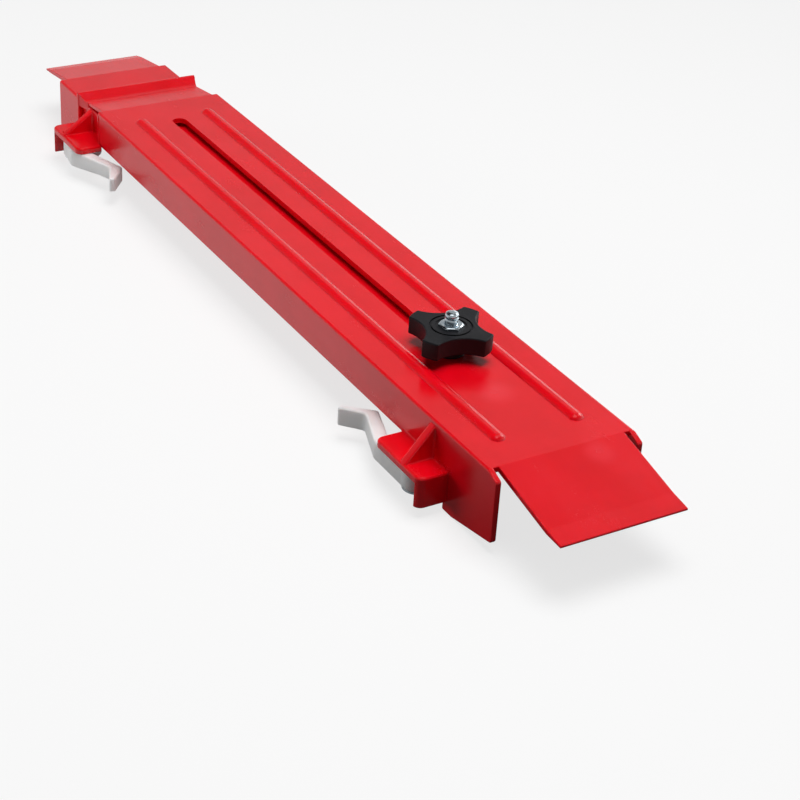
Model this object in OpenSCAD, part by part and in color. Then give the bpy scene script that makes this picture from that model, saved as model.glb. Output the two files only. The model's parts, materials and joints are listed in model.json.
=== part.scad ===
// Telescoping cover for the grip zone of a cross-country ski.
// X runs along the ski towards the front flap, Y across it, Z away from the
// ski's running surface. The origin lies on the running surface, on the ski's
// centreline, under the front bend of the front cover.

/* [Ski] */
// Width of the ski that the cover clamps onto
ski_w = 44; // [38:1:56]

/* [Front cover] */
// Length of the flat top between its front and rear bends
cover_len = 317; // [280:1:420]
// Height of the top face above the running surface
cover_rise = 9.3; // [8.8:0.1:14]
// Thickness of the top
cover_t = 2.3; // [1.8:0.1:2.8]
// Thickness of the side walls, on both covers
wall_t = 2.1; // [1.5:0.1:2.6]
// Gap between the ski's edge and the inside of a side wall
side_gap = 4.8; // [4.2:0.1:8]
// Depth of the side walls below the running surface
skirt_depth = 5.9; // [4:0.1:6.4]
// Radius of the long top edges
edge_r = 1.0; // [0.4:0.1:1.6]
// Length of the front flap, from the bend to its tip
flap_len = 36.6; // [26:0.2:60]
// Gap on each side between the front flap and the walls
flap_slit = 2.0; // [1:0.1:4]
// Length of the tongue behind the rear bend
tongue_len = 16.6; // [12:0.2:24]
// Thickness of the tongue and the flaps at their thin ends
tip_t = 0.7; // [0.5:0.1:1.2]
// How far the walls reach past the front bend
wall_past = 5.4; // [3:0.1:9]
// How far the wall's top corner drops over that length
wall_drop = 2.2; // [1:0.1:4]

/* [Grip walls] */
// Depth of the deep end walls below the running surface
grip_depth = 20.5; // [19:0.5:28]
// How far their bottom edge rises towards the front end
grip_rise = 4.3; // [0:0.1:6]
// Length of that rising edge
grip_rise_len = 24; // [12:1:26]
// Length of the far deep wall behind the front bend
far_grip_len = 62; // [50:1:80]
// Thickness of the upright ribs that locate the ski
fence_t = 2.0; // [1.5:0.1:3]
// Clearance between those ribs and the ski
fence_gap = 0.3; // [0.2:0.1:1]

/* [Beads and slot] */
// Distance of each bead from the centreline
bead_y = 15.6; // [12:0.1:17]
// Width of a bead
bead_w = 4.6; // [3:0.1:6]
// Height of a bead
bead_h = 1.3; // [0.6:0.1:1.8]
// Distance from the front bend to the beads' front ends
bead_front = 12.4; // [8:0.1:30]
// Distance from the rear bend to the beads' rear ends
bead_rear = 15; // [8:0.1:30]
// Distance from the rear bend to the adjusting slot's rear end
slot_stop = 19.2; // [12:0.2:60]
// Clearance of the slot on each side of the bolt
slot_gap = 0.65; // [0.2:0.05:0.8]

/* [Rear slider] */
// Length of the slider that shows behind the front cover's rear bend
slider_show = 50.3; // [46:0.1:70]
// Thickness of the slider's top
slider_t = 2.3; // [1.8:0.1:2.4]
// Gap between the front cover's underside and the slider's top
deck_gap = 1.8; // [1.2:0.1:2]
// Gap between the two covers' side walls
wall_gap = 0.4; // [0.3:0.05:0.8]
// Clearance over the running rails and around the clamped parts
run_gap = 0.3; // [0.2:0.05:0.5]
// Distance of each running rail from the centreline
rail_y = 20; // [18.5:0.1:21]
// Width of a running rail
rail_w = 2.0; // [1.5:0.1:3]
// Length of a running rail behind the clamp bolt
rail_back = 13; // [9:0.5:16]
// Length of the rear flap, from the bend to its tip
rear_flap_len = 25.6; // [18:0.1:40]
// Gap on each side between the rear flap and the walls
rear_flap_slit = 1.4; // [1:0.1:3]
// Length of the slider in front of the clamp bolt
slider_past = 12.7; // [9:0.1:20]
// Thickness of the stop collar
collar_t = 2.2; // [1.6:0.1:3]
// How far the collar stands out past the slider's walls
collar_out = 2.2; // [1.5:0.1:2.4]
// Length of the ramp in front of the collar
collar_ramp = 6.0; // [4:0.1:8]

/* [Lever brackets] */
// Distance of the front lever's pivot behind the front bend
front_pivot = 33.5; // [32:0.5:40]
// Distance of the rear lever's pivot in front of the slider's rear bend
rear_pivot = 36.8; // [34:0.1:42]
// Distance of each pivot outside the inside face of the near wall
pivot_out = 6.7; // [6.5:0.1:8]
// Outer edge of a shelf, measured from the pivot
shelf_out = 6.9; // [6.5:0.1:9]
// Reach of a shelf from the pivot along the lever's arm
shelf_arm = 18; // [14:0.5:22]
// Reach of a shelf from the pivot to the outside of its hood
shelf_hood = 11.5; // [11.3:0.1:13]
// Depth of a shelf's top below the running surface
shelf_drop = 4.7; // [4.4:0.1:5.5]
// Thickness of a shelf
shelf_t = 2.7; // [2:0.1:3]
// Thickness of a hood
hood_t = 2.4; // [1.8:0.1:2.8]
// Depth of a hood's lower edge below the running surface
hood_depth = 16.6; // [16:0.1:18.5]
// Radius of a hood's outer corners
hood_r = 3.0; // [1:0.1:4]
// Thickness of a gusset rib
gusset_t = 3.4; // [2:0.1:4]

/* [Levers] */
// Height of a lever
lever_h = 7.5; // [6:0.1:8]
// Radius of the cam
cam_r = 8.0; // [7.5:0.1:8.2]
// Throw of the cam
cam_throw = 3.0; // [2:0.1:3.2]
// Radius of the hub's outer side
hub_r = 5.8; // [5.2:0.1:6.2]
// Distance of the front arm's outer face from the pivot
arm_out = 5.5; // [4.8:0.1:5.7]
// Length of the front arm's straight part, from the pivot
arm_len = 20; // [18:0.5:24]
// Distance from the pivot to the front arm's inner bend
bend_len = 37; // [32:0.5:42]
// Distance from the pivot to the end of the front finger tab
tab_len = 45; // [42:0.2:52]
// Distance of the front tab's outer corner from the pivot, across the arm
tab_out = 6.6; // [4:0.1:9]
// Distance of the rear arm's outer face from the pivot
rear_arm_out = 7.4; // [6.4:0.1:8]
// Length of the rear arm's straight part, from the pivot
rear_arm_len = 11; // [10:0.5:18]
// Distance from the pivot to the rear arm's inner bend
rear_bend_len = 34; // [31:0.5:40]
// Distance from the pivot to the end of the rear finger tab
rear_tab_len = 45.5; // [42:0.2:52]
// Distance of the rear tab's outer corner from the pivot, across the arm
rear_tab_out = 3.9; // [3:0.1:8]
// How far the rear arm's underside rises towards its tab
rear_rise = 1.6; // [0:0.1:2.5]
// Thickness of the arm
arm_t = 5.4; // [4:0.1:5.6]
// Thickness of the finger tab at its end
tab_t = 2.4; // [1.8:0.1:4]
// Radius of the pivot boss that a lever turns on
boss_r = 3.4; // [3:0.1:4]
// Radial running clearance of a lever on its boss
boss_gap = 0.05; // [0.02:0.01:0.1]

/* [Fasteners] */
// Radius of the clamp bolt
bolt_r = 2.5; // [2:0.1:3]
// Width across flats of the bolt's head and nut
hex_af = 8.0; // [7.6:0.1:10]
// Thickness of the bolt's head
head_t = 2.4; // [1.8:0.1:2.4]
// Distance of the clamp bolt behind the front bend
bolt_back = 70.7; // [68:0.1:90]
// Length of the bolt's end above the nut
bolt_end = 4.6; // [3:0.1:10]
// Thickness of the nut
nut_t = 4.0; // [3:0.1:5]
// How far the nut stands above the knob
nut_proud = 0.8; // [0.4:0.1:2]
// Radius of the lever screws
screw_r = 1.5; // [1.2:0.1:2]
// Radius of the lever screws' heads
screw_head_r = 2.8; // [2.4:0.1:3.6]
// Height of the lever screws' heads
screw_head_t = 1.6; // [1.2:0.1:2]
// Radius of the lever washers
washer_r = 5.2; // [4.6:0.1:6]
// Thickness of the lever washers
washer_t = 0.8; // [0.5:0.1:1]

/* [Knob] */
// Radius over the knob's four arms
knob_r = 15.5; // [13:0.1:18]
// Radius in the valleys between the arms
valley_r = 9.7; // [8.5:0.1:10.5]
// Width of an arm at its end
arm_w = 6.4; // [5:0.1:8]
// Thickness of the arms
knob_t = 6.6; // [5:0.1:9]
// Radius of the hub under the arms
knob_hub_r = 5.8; // [5:0.1:8]
// Height of the arms' underside above the front cover
knob_lift = 3.9; // [2.6:0.1:8]
// Turn of the knob about its bolt, in degrees
knob_turn = 30; // [0:1:89]
// Turn of the nut's corners past the knob's arms, in degrees
nut_turn = 30; // [0:1:59]
// Radius of the ring moulded around the nut
ring_r = 7.5; // [6.5:0.1:8]

/* [Hidden] */
$fn = 48;
// a cut runs this far past the face that it opens
cut = 1;
RED = [0.82, 0.09, 0.11];
WHITE = [0.92, 0.91, 0.9];
BLACK = [0.09, 0.09, 0.1];
ZINC = [0.72, 0.74, 0.76];

// across the ski
inner_half = ski_w / 2 + side_gap;
cover_half = inner_half + wall_t;
slider_half = inner_half - wall_gap;
slider_inner = slider_half - wall_t;
flap_half = inner_half - flap_slit;
tongue_half = inner_half - wall_gap - run_gap;
rear_flap_half = slider_inner - rear_flap_slit;
fence_y = ski_w / 2 + fence_gap;
pivot_y = -inner_half - pivot_out;
shelf_y = pivot_y - shelf_out;

// above and below the running surface
cover_under = cover_rise - cover_t;
slider_top = cover_under - deck_gap;
slider_under = slider_top - slider_t;
rail_top = cover_under - run_gap;
bead_round = (bead_w * bead_w / 4 + bead_h * bead_h) / (2 * bead_h);
shelf_under = -shelf_drop - shelf_t;
play = 0.1;
lever_top = shelf_under - play;
boss_end = lever_top - lever_h - play;

// along the ski
rear_bend = -cover_len;
tongue_end = rear_bend - tongue_len;
slider_bend = rear_bend - slider_show;
bolt_x = -bolt_back;
slider_front = bolt_x + slider_past;
slot_half = bolt_r + slot_gap;
slot_front = bolt_x + slot_half + bolt_r * 0.6;
slot_rear = rear_bend + slot_stop;
slot_len = slot_front - slot_rear;
// room that the clamp bolt has to slide rearwards
travel = bolt_x - bolt_r - slot_rear;
front_pivot_x = -front_pivot;
rear_pivot_x = slider_bend + rear_pivot;
front_hood_x = front_pivot_x + shelf_hood;
rear_hood_x = rear_pivot_x - shelf_hood;
collar_x = rear_hood_x + collar_t;
ramp_end = tongue_end - run_gap;
ramp_start = min(collar_x, ramp_end - collar_ramp);

// clamp stack
knob_under = cover_rise + knob_lift;
knob_top = knob_under + knob_t;
nut_top = knob_top + nut_proud;
nut_under = nut_top - nut_t;
bolt_top = nut_top + bolt_end;
pad_r = hex_af / 2 + 3.2;
head_seat = slider_top - 0.5;

// ---------- helpers ----------

// an outline in Y and Z, extruded along X from x0 to x1
module along_x(x0, x1) {
    translate([x0, 0, 0]) rotate([90, 0, 90]) linear_extrude(x1 - x0) children();
}

// an outline in X and Z, extruded along Y from y0 to y1
module along_y(y0, y1) {
    translate([0, y1, 0]) rotate([90, 0, 0]) linear_extrude(y1 - y0) children();
}

// a block given by its lowest and highest corners
module block(a, b) {
    translate(a) cube(b - a);
}

module hex(af, h) {
    cylinder(d = af / cos(30), h = h, $fn = 6);
}

// solid outline of a channel with rounded top corners
module bar_outline(half, bottom, top, r) {
    translate([-half, bottom]) square([2 * half, top - r - bottom]);
    translate([-half + r, bottom]) square([2 * (half - r), top - bottom]);
    for (side = [-1, 1]) translate([side * (half - r), top - r]) circle(r);
}

// upside-down U: a top with a side wall along each edge
module channel_outline(half, bottom, top, t, wall, r) {
    difference() {
        bar_outline(half, bottom, top, r);
        translate([-half + wall, bottom - cut]) square([2 * (half - wall), top - t - bottom + cut]);
    }
}

// a flat strip that slopes from a bend down to a thin tip resting on the ski
module flap_outline(length, top, t, tip) {
    reach = abs(length);
    s = sign(length);
    knee = 0.78;
    polygon([[0, top], [s * reach * knee, tip + tip_t + 1.4], [s * reach, tip + tip_t * 1.2],
             [s * reach, tip], [s * reach * knee, tip + 0.4], [0, top - t]]);
}

// ---------- lever bracket ----------

// shelf, hood, gusset and pivot boss of one bracket, drawn about its pivot:
// u runs along the lever's arm, Y as in the assembly
module bracket(root_y, wall_top, wall_gap_x) {
    hood_in = shelf_hood - hood_t;
    difference() {
        union() {
            // shelf and hood in one bent profile with a round outer bend
            intersection() {
                along_y(shelf_y - pivot_y, root_y - pivot_y) difference() {
                    union() {
                        translate([-shelf_hood, -hood_depth])
                            square([shelf_hood + shelf_arm, hood_depth - shelf_drop - hood_r / 2]);
                        translate([-shelf_hood + hood_r / 2, -shelf_drop - hood_r / 2])
                            square([shelf_hood + shelf_arm - hood_r / 2, hood_r / 2]);
                        translate([-shelf_hood + hood_r / 2, -shelf_drop - hood_r / 2]) circle(hood_r / 2);
                    }
                    translate([-hood_in, -hood_depth - cut])
                        square([shelf_hood + shelf_arm + cut, hood_depth + cut + shelf_under]);
                }
                // round outer corners, seen from above
                translate([0, 0, -hood_depth - cut]) linear_extrude(hood_depth + cut) union() {
                    translate([-shelf_hood + hood_r, shelf_y - pivot_y])
                        square([shelf_hood + shelf_arm - 2 * hood_r, root_y - shelf_y]);
                    translate([-shelf_hood, shelf_y - pivot_y + hood_r])
                        square([shelf_hood + shelf_arm, root_y - shelf_y - hood_r]);
                    translate([-shelf_hood + hood_r, shelf_y - pivot_y + hood_r]) circle(hood_r);
                    translate([shelf_arm - hood_r, shelf_y - pivot_y + hood_r]) circle(hood_r);
                }
            }
            // gusset from the wall's top edge to the shelf's outer edge
            along_x(-gusset_t / 2, gusset_t / 2)
                polygon([[root_y - pivot_y, -shelf_drop - shelf_t / 2], [root_y - pivot_y, wall_top],
                         [root_y - pivot_y - wall_t, wall_top],
                         [shelf_y - pivot_y + 0.6, -shelf_drop], [shelf_y - pivot_y + 0.6, -shelf_drop - shelf_t / 2]]);
            // boss
            translate([0, 0, boss_end]) cylinder(r = boss_r, h = shelf_under - boss_end + cut);
        }
        // blind hole for the lever screw
        translate([0, 0, boss_end - cut]) cylinder(r = screw_r, h = shelf_under - boss_end + cut + shelf_t / 3);
        // room for the front cover's wall
        if (wall_gap_x > 0)
            block([wall_gap_x, -cover_half - run_gap - pivot_y, -hood_depth],
                  [shelf_arm + cut, root_y - pivot_y + cut, wall_top + cut]);
    }
}

// ---------- covers ----------

// deep wall at the front end of the front cover, from x0 forwards
module deep_front_wall(x0) {
    polygon([[x0, 0], [x0, -grip_depth], [wall_past - grip_rise_len, -grip_depth],
             [wall_past, -grip_depth + grip_rise], [wall_past, cover_rise - wall_drop],
             [0, cover_rise], [0, 0]]);
}

module front_walls() {
    intersection() {
        union() {
            along_y(-cover_half, -inner_half) deep_front_wall(front_hood_x - hood_t);
            along_y(inner_half, cover_half) deep_front_wall(-far_grip_len);
        }
        along_x(-far_grip_len - cut, wall_past + cut)
            bar_outline(cover_half, -grip_depth - cut, cover_rise, edge_r);
    }
}

// upright ribs on the far wall that the levers press the ski against
module front_fence() {
    first = slider_front + 3;
    last = wall_past - grip_rise_len - fence_t - 0.5;
    for (x = [first, (first + last) / 2, last])
        block([x, fence_y, -grip_depth], [x + fence_t, inner_half + cut, cover_under + cut]);
}

module bead(y) {
    x0 = rear_bend + bead_rear + bead_w / 2;
    x1 = -bead_front - bead_w / 2;
    z = cover_rise + bead_h - bead_round;
    intersection() {
        translate([0, y, z]) {
            translate([x0, 0, 0]) rotate([0, 90, 0]) cylinder(r = bead_round, h = x1 - x0);
            for (x = [x0, x1]) translate([x, 0, 0]) sphere(r = bead_round);
        }
        block([x0 - bead_w, y - bead_w, cover_rise - cover_t / 2], [x1 + bead_w, y + bead_w, cover_rise + bead_h + cut]);
    }
}

module front_cover() {
    color(RED) difference() {
        union() {
            along_x(rear_bend, 0)
                channel_outline(cover_half, -skirt_depth, cover_rise, cover_t, wall_t, edge_r);
            front_walls();
            front_fence();
            along_y(-flap_half, flap_half) flap_outline(flap_len, cover_rise, cover_t, 0.3);
            // tongue that rides on the slider behind the rear bend
            along_y(-tongue_half, tongue_half)
                polygon([[rear_bend, cover_rise], [rear_bend, cover_under],
                         [tongue_end, slider_top + run_gap], [tongue_end, slider_top + run_gap + tip_t * 2.3]]);
            for (side = [-1, 1]) bead(side * bead_y);
            translate([front_pivot_x, pivot_y, 0]) mirror([1, 0, 0])
                bracket(-inner_half, cover_rise - 1.4, 0);
        }
        // adjusting slot
        translate([0, 0, cover_under - cut]) linear_extrude(cover_t + 2 * cut) {
            translate([slot_rear + slot_half, -slot_half])
                square([slot_len - 2 * slot_half, 2 * slot_half]);
            for (x = [slot_rear + slot_half, slot_front - slot_half]) translate([x, 0]) circle(slot_half);
        }
    }
}

// stop collar: a frame that stands out of the slider's walls and top
module collar() {
    difference() {
        along_x(rear_hood_x, rear_hood_x + collar_t)
            bar_outline(slider_half + collar_out, -skirt_depth, cover_rise, edge_r);
        block([rear_hood_x - cut, -slider_inner, -skirt_depth - cut],
              [rear_hood_x + collar_t + cut, slider_inner, slider_under]);
    }
    // ramp in front of the collar, narrowing towards the tongue
    intersection() {
        along_y(-slider_half - collar_out, slider_half + collar_out)
            polygon([[ramp_start - 0.2, slider_under], [ramp_start - 0.2, cover_rise], [ramp_start, cover_rise],
                     [ramp_end, slider_top + run_gap + tip_t * 2.3], [ramp_end, slider_under]]);
        translate([0, 0, slider_under]) linear_extrude(cover_rise)
            polygon([[ramp_start - 0.2, -slider_half - collar_out], [ramp_start - 0.2, slider_half + collar_out],
                     [ramp_start, slider_half + collar_out], [ramp_end, slider_half],
                     [ramp_end, -slider_half], [ramp_start, -slider_half - collar_out]]);
    }
}

module rear_slider() {
    near_deep_end = rear_hood_x + collar_t;
    far_deep_end = rear_bend + 12;
    color(RED) difference() {
        union() {
            along_x(slider_bend, slider_front)
                channel_outline(slider_half, -skirt_depth + 0.4, slider_top, slider_t, wall_t, edge_r);
            // deep grip walls at the rear end
            along_y(-slider_half, -slider_inner)
                polygon([[slider_bend, 0], [slider_bend, -grip_depth], [near_deep_end, -grip_depth], [near_deep_end, 0]]);
            along_y(slider_inner, slider_half)
                polygon([[slider_bend, 0], [slider_bend, -grip_depth], [far_deep_end, -grip_depth], [far_deep_end, 0]]);
            for (x = [slider_bend + fence_t, rear_pivot_x - fence_t / 2, far_deep_end - 2 * fence_t])
                block([x, fence_y, -grip_depth], [x + fence_t, slider_inner + wall_t / 2, slider_under + slider_t / 2]);
            translate([slider_bend, 0, 0]) along_y(-rear_flap_half, rear_flap_half)
                flap_outline(-rear_flap_len, slider_top, slider_t, 0.3);
            collar();
            // rails that the front cover's underside runs on
            for (side = [-1, 1])
                block([bolt_x - rail_back, side * rail_y - rail_w / 2, slider_under + slider_t / 2],
                      [slider_front, side * rail_y + rail_w / 2, rail_top]);
            // pad around the clamp bolt
            translate([bolt_x, 0, slider_under]) cylinder(r = pad_r, h = rail_top - slider_under);
            translate([rear_pivot_x, pivot_y, 0])
                bracket(-slider_inner, slider_top, rear_bend - run_gap - rear_pivot_x);
        }
        translate([bolt_x, 0, slider_under - cut]) cylinder(r = bolt_r + boss_gap, h = rail_top);
        // pocket that keeps the bolt's head from turning
        translate([bolt_x, 0, slider_under - cut]) hex(hex_af + 2 * boss_gap, head_seat - slider_under + cut);
    }
}

// ---------- levers ----------

// seen from above, u along the arm, v outwards from the ski: corner is the end
// of the straight part's outer face, heel the inner bend's far corner measured
// from the bend, tab the outer corner of the finger tab
module arm_outline(corner, bend, heel, tab) {
    slant = atan2(corner.y - bend.y, bend.x - corner.x);
    inner = [-sin(slant), -cos(slant)] * arm_t;
    polygon([[-1, hub_r - 0.3], corner, bend, tab, tab + [tab_t * 0.25, -tab_t],
             bend + heel, bend + inner + [heel.x + 0.6, 0], bend + inner + [-1.4, 0.3],
             corner + inner, [cam_r, corner.y - arm_t], [0, -cam_throw]]);
}

module lever(corner, bend, heel, tab, rise) {
    translate([0, 0, lever_top - lever_h]) difference() {
        union() {
            cylinder(r = hub_r, h = lever_h);
            translate([0, -cam_throw, 0]) cylinder(r = cam_r, h = lever_h);
            linear_extrude(lever_h) arm_outline(corner, bend, heel, tab);
        }
        translate([0, 0, -cut]) cylinder(r = boss_r + boss_gap, h = lever_h + 2 * cut);
        // underside rising towards the tab
        if (rise > 0) along_y(-20, 20)
            polygon([[cam_r + 2, -cut], [cam_r + 2, 0], [bend.x - 6, rise],
                     [tab.x + 10, rise], [tab.x + 10, -cut]]);
    }
}

module front_lever() {
    color(WHITE) translate([front_pivot_x, pivot_y, 0]) rotate([0, 0, 180])
        lever([arm_len, arm_out], [bend_len, -0.6], [0.6, -4.4], [tab_len, tab_out], 0);
}

module rear_lever() {
    color(WHITE) translate([rear_pivot_x, pivot_y, 0]) mirror([0, 1, 0])
        lever([rear_arm_len, rear_arm_out], [rear_bend_len, -1], [3, -4.8],
              [rear_tab_len, rear_tab_out], rear_rise);
}

module lever_washer(x) {
    color(ZINC) translate([x, pivot_y, boss_end - washer_t]) difference() {
        cylinder(r = washer_r, h = washer_t);
        translate([0, 0, -cut]) cylinder(r = screw_r + 0.1, h = washer_t + 2 * cut);
    }
}

module lever_screw(x) {
    head_z = boss_end - washer_t - screw_head_t;
    color(ZINC) translate([x, pivot_y, head_z]) difference() {
        union() {
            cylinder(r1 = screw_head_r * 0.8, r2 = screw_head_r, h = screw_head_t * 0.5);
            translate([0, 0, screw_head_t * 0.5]) cylinder(r = screw_head_r, h = screw_head_t * 0.5);
            translate([0, 0, screw_head_t]) cylinder(r = screw_r - boss_gap, h = washer_t + lever_h);
        }
        // cross recess
        for (turn = [0, 90]) rotate([0, 0, turn])
            block([-screw_head_r * 0.5, -0.35, -cut], [screw_head_r * 0.5, 0.35, screw_head_t * 0.55]);
    }
}

module front_lever_washer() { lever_washer(front_pivot_x); }
module rear_lever_washer() { lever_washer(rear_pivot_x); }
module front_lever_screw() { lever_screw(front_pivot_x); }
module rear_lever_screw() { lever_screw(rear_pivot_x); }

// ---------- clamp ----------

module clamp_bolt() {
    color(ZINC) translate([bolt_x, 0, 0]) {
        translate([0, 0, head_seat - head_t]) hex(hex_af, head_t);
        translate([0, 0, head_seat - play]) cylinder(r = bolt_r, h = bolt_top - head_seat + play - 0.6);
        translate([0, 0, bolt_top - 0.6]) cylinder(r1 = bolt_r, r2 = bolt_r - 0.6, h = 0.6);
    }
}

// four arms left between four round valleys
module knob_outline() {
    half_arm = asin(arm_w / 2 / knob_r);
    along = knob_r * cos(45 - half_arm);
    aside = knob_r * sin(45 - half_arm);
    dip = along - valley_r;
    scoop_r = (dip * dip + aside * aside) / (2 * dip);
    difference() {
        circle(knob_r);
        for (turn = [45:90:315]) rotate(turn) translate([valley_r + scoop_r, 0]) circle(scoop_r);
    }
}

module clamp_knob() {
    color(BLACK) translate([bolt_x, 0, 0]) rotate([0, 0, knob_turn]) difference() {
        union() {
            translate([0, 0, knob_under]) linear_extrude(knob_t) knob_outline();
            translate([0, 0, cover_rise + play]) cylinder(r = knob_hub_r, h = knob_lift);
        }
        translate([0, 0, cover_rise - cut]) cylinder(r = bolt_r + 0.2, h = knob_top);
        translate([0, 0, nut_under - boss_gap]) rotate([0, 0, nut_turn])
            hex(hex_af + 2 * boss_gap, nut_t + 2 * cut);
        // moulded ring
        translate([0, 0, knob_top - 0.3]) difference() {
            cylinder(r = ring_r, h = cut);
            translate([0, 0, -cut]) cylinder(r = ring_r - 0.5, h = 3 * cut);
        }
    }
}

module knob_nut() {
    color(ZINC) translate([bolt_x, 0, nut_under]) rotate([0, 0, knob_turn + nut_turn]) difference() {
        hex(hex_af, nut_t);
        translate([0, 0, -cut]) cylinder(r = bolt_r + boss_gap, h = nut_t + 2 * cut);
    }
}

front_cover();
rear_slider();
front_lever();
rear_lever();
front_lever_washer();
rear_lever_washer();
front_lever_screw();
rear_lever_screw();
clamp_bolt();
clamp_knob();
knob_nut();
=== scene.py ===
"""Looks of a telescoping cover for the grip zone of a cross-country ski.

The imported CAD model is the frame. The moulded pieces are built again here from
named sizes, with rounded edges and fillets, and so are the clamp's nut and bolt,
with chamfers and a thread. The levers' washers and screws are the CAD's own. Pieces
are sized in millimetres; the frame, the materials and the stage are in metres.
"""

import json
import math

import bmesh
import bpy
from mathutils import Matrix, Vector


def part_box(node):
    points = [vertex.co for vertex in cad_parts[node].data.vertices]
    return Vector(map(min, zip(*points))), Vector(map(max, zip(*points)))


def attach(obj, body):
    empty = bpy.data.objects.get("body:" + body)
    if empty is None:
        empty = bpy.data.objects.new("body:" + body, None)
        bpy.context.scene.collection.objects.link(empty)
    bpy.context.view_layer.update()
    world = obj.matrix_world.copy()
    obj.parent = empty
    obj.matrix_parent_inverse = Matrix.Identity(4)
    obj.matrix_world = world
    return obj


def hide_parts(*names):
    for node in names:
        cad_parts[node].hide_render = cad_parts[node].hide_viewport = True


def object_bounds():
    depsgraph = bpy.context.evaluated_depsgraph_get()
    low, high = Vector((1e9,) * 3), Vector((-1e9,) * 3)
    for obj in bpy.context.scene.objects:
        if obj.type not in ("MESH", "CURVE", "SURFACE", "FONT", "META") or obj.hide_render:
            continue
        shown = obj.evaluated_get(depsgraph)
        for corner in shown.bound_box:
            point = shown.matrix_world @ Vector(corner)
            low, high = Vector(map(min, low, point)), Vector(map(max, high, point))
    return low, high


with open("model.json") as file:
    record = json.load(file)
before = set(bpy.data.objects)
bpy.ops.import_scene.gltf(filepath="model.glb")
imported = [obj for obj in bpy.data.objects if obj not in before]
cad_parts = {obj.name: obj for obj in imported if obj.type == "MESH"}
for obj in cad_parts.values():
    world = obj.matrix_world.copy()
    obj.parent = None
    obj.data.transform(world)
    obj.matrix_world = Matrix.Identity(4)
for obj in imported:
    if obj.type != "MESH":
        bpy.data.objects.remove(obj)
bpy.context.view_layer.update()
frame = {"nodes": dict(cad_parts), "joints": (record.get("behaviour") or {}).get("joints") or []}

MM = 0.001
PIVOTS = {j["name"]: Vector(j["pos_m"]) for j in frame["joints"] if "pos_m" in j}
CLAMP = PIVOTS["knob_turn"]
CLAMP_X = CLAMP.x / MM
CLAMP_CENTRE = (CLAMP_X, 0)

# ---------- meshes ----------

# The rounding of a rim where no other is given, in millimetres.
RIM = 0.35
# The most of a side that one round corner takes up.
SIDE_SHARE = 0.48
# Keeps an inset from shooting out at a very sharp corner.
SHARPEST = 0.3
# How far a fillet sinks into the two faces that it joins.
FILLET_SINK = 0.15


def new_object(name, bm):
    """An object from closed faces, which are turned to point outwards."""
    bmesh.ops.recalc_face_normals(bm, faces=bm.faces)
    if bm.calc_volume(signed=True) < 0:
        bmesh.ops.reverse_faces(bm, faces=bm.faces)
    mesh = bpy.data.meshes.new(name)
    bm.to_mesh(mesh)
    bm.free()
    obj = bpy.data.objects.new(name, mesh)
    bpy.context.scene.collection.objects.link(obj)
    return obj


def applied(obj):
    """The object with its modifiers' result as its own plain mesh."""
    graph = bpy.context.evaluated_depsgraph_get()
    graph.update()
    mesh = bpy.data.meshes.new_from_object(obj.evaluated_get(graph))
    old = obj.data
    obj.modifiers.clear()
    obj.data = mesh
    bpy.data.meshes.remove(old)
    mesh.name = obj.name
    return obj


def boolean(obj, operation, *others):
    """UNION, DIFFERENCE or INTERSECT of obj with each of the others, which go."""
    for other in others:
        modifier = obj.modifiers.new("boolean", "BOOLEAN")
        modifier.operation = operation
        modifier.solver = "MANIFOLD"
        modifier.object = other
        applied(obj)
        bpy.data.objects.remove(other)
    return obj


def joined(obj, *others):
    """One mesh of several closed shells."""
    bm = bmesh.new()
    for part in (obj, *others):
        bm.from_mesh(part.data)
    bm.to_mesh(obj.data)
    bm.free()
    for other in others:
        bpy.data.objects.remove(other)
    return obj


def shaded(obj, angle=40):
    """Smooth shading that leaves flat faces flat."""
    obj.data.shade_smooth()
    obj.data.set_sharp_from_angle(angle=math.radians(angle))
    modifier = obj.modifiers.new("normals", "WEIGHTED_NORMAL")
    modifier.keep_sharp = True
    return applied(obj)


def arc(centre, radius, start, end, steps):
    """Points of an arc, angles in degrees."""
    turns = [math.radians(start + (end - start) * i / steps) for i in range(steps + 1)]
    return [(centre[0] + radius * math.cos(t), centre[1] + radius * math.sin(t)) for t in turns]


def circle(centre, radius, steps):
    """A full circle, without its first point again at the end."""
    return arc(centre, radius, 0, 360, steps)[:-1]


def soft_outline(corners, steps=5):
    """An outline from corners (a, b) or (a, b, radius), the latter made round."""
    points = []
    for i, corner in enumerate(corners):
        here = Vector(corner[:2])
        radius = corner[2] if len(corner) > 2 else 0
        if not radius:
            points.append(tuple(here))
            continue
        before = Vector(corners[i - 1][:2]) - here
        after = Vector(corners[(i + 1) % len(corners)][:2]) - here
        half = before.angle(after) / 2
        shorter = min(SIDE_SHARE * before.length, SIDE_SHARE * after.length)
        reach = min(radius / math.tan(half), shorter)
        radius = reach * math.tan(half)
        halfway = (before.normalized() + after.normalized()).normalized()
        middle = here + halfway * (radius / math.sin(half))
        first = here + before.normalized() * reach - middle
        turn = first.angle_signed(here + after.normalized() * reach - middle)
        for k in range(steps + 1):
            points.append(tuple(middle + Matrix.Rotation(-turn * k / steps, 2) @ first))
    return points


def along(axis):
    """Maps an outline's (a, b) and a height to X, Y, Z for a prism along the axis."""
    return {
        "x": lambda a, b, h: Vector((h, a, b)),
        "y": lambda a, b, h: Vector((a, h, b)),
        "z": lambda a, b, h: Vector((a, b, h)),
    }[axis]


def inset(points, distance):
    """The outline moved inwards; it runs counter-clockwise."""
    moved = []
    for i, point in enumerate(points):
        here = Vector(point)
        a = (here - Vector(points[i - 1])).normalized()
        b = (Vector(points[(i + 1) % len(points)]) - here).normalized()
        n, m = Vector((-a.y, a.x)), Vector((-b.y, b.x))
        moved.append(tuple(here + (n + m) * (distance / max(1 + n.dot(m), SHARPEST))))
    return moved


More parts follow.
